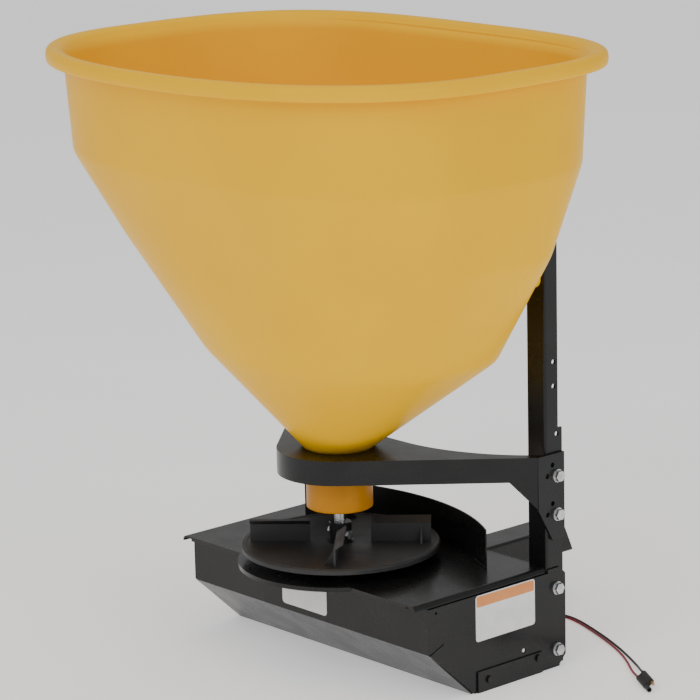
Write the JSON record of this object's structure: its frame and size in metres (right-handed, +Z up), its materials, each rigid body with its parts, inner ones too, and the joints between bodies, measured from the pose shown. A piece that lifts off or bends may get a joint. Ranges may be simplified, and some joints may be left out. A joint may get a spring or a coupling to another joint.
{
  "type": "tailgate salt spreader",
  "caption": "Hitch-mounted spreader: a D-shaped funnel hopper on a bent steel frame with rear masts feeds a vaned spinner disc driven by an enclosed electric gear drive.",
  "frame": {"origin": "centre of the base's flat foot, on the surface it stands on", "axes": "+Z up, +Y towards the vehicle along the drawbar, +X to the spreader's side with the label; the spinner axis is 90 mm on the -Y side of the origin"},
  "size_m": [0.727, 0.7065, 0.792],
  "materials": {
    "hopper_yellow": "moulded, satin gloss",
    "painted_black": "gloss powder coat",
    "disc_black": "matte moulded",
    "zinc": "zinc plated",
    "shaft_chrome": "ground",
    "gear_steel": "machined",
    "cast_case": "as cast",
    "seal_rubber": "matte",
    "bronze": "sintered",
    "wire_black": "satin",
    "wire_red": "satin",
    "plug_grip": "matte",
    "label_white": "printed film"
  },
  "bodies": {
    "chassis": {"hopper": "hopper_yellow", "hopper_frame": "painted_black", "neck_ring": "painted_black", "hopper_bolts": "zinc", "mast_right": "painted_black", "mast_left": "painted_black", "frame_bolts": "zinc", "frame_nuts": "zinc", "side_panel_right": "painted_black", "side_panel_left": "painted_black", "front_panel": "painted_black", "rear_panel": "painted_black", "bottom_cover": "painted_black", "cover_screws": "painted_black", "deck_plate": "painted_black", "deflector": "painted_black", "cross_member": "painted_black", "cross_bolts": "zinc", "drawbar": "painted_black", "gearbox_housing": "cast_case", "gearbox_cover": "cast_case", "gearbox_screws": "painted_black", "lower_bearing": "bronze", "upper_bearing": "bronze", "shaft_seal": "seal_rubber", "motor_can": "painted_black", "motor_end_cap": "cast_case", "wire_gland": "seal_rubber", "wire_black": "wire_black", "wire_red": "wire_red", "plug_body": "plug_grip", "plug_pin": "bronze", "side_label": "label_white", "front_label": "label_white"},
    "spinner": {"spinner_shaft": "shaft_chrome", "spinner_hub": "painted_black", "spinner_disc": "disc_black", "hub_bolt": "zinc", "hub_nut": "zinc", "agitator": "shaft_chrome", "feed_paddles": "gear_steel", "shaft_clip": "gear_steel", "output_gear": "gear_steel", "vane_1": "disc_black", "vane_2": "disc_black", "vane_3": "disc_black", "vane_4": "disc_black"},
    "motor_rotor": {"motor_pinion": "gear_steel", "motor_shaft": "gear_steel"}
  },
  "joints": [
    {"name": "spinner_spin", "type": "hinge", "parent": "chassis", "child": "spinner", "pos_m": [0, -0.09, 0.1545], "axis": [0, 0, 1], "continuous": true},
    {"name": "rotor_spin", "type": "hinge", "parent": "chassis", "child": "motor_rotor", "pos_m": [0, -0.03, 0.112], "axis": [0, 0, 1], "continuous": true}
  ],
  "couplings": [
    {"joint": "rotor_spin", "follows": "spinner_spin", "ratio": -3}
  ]
}
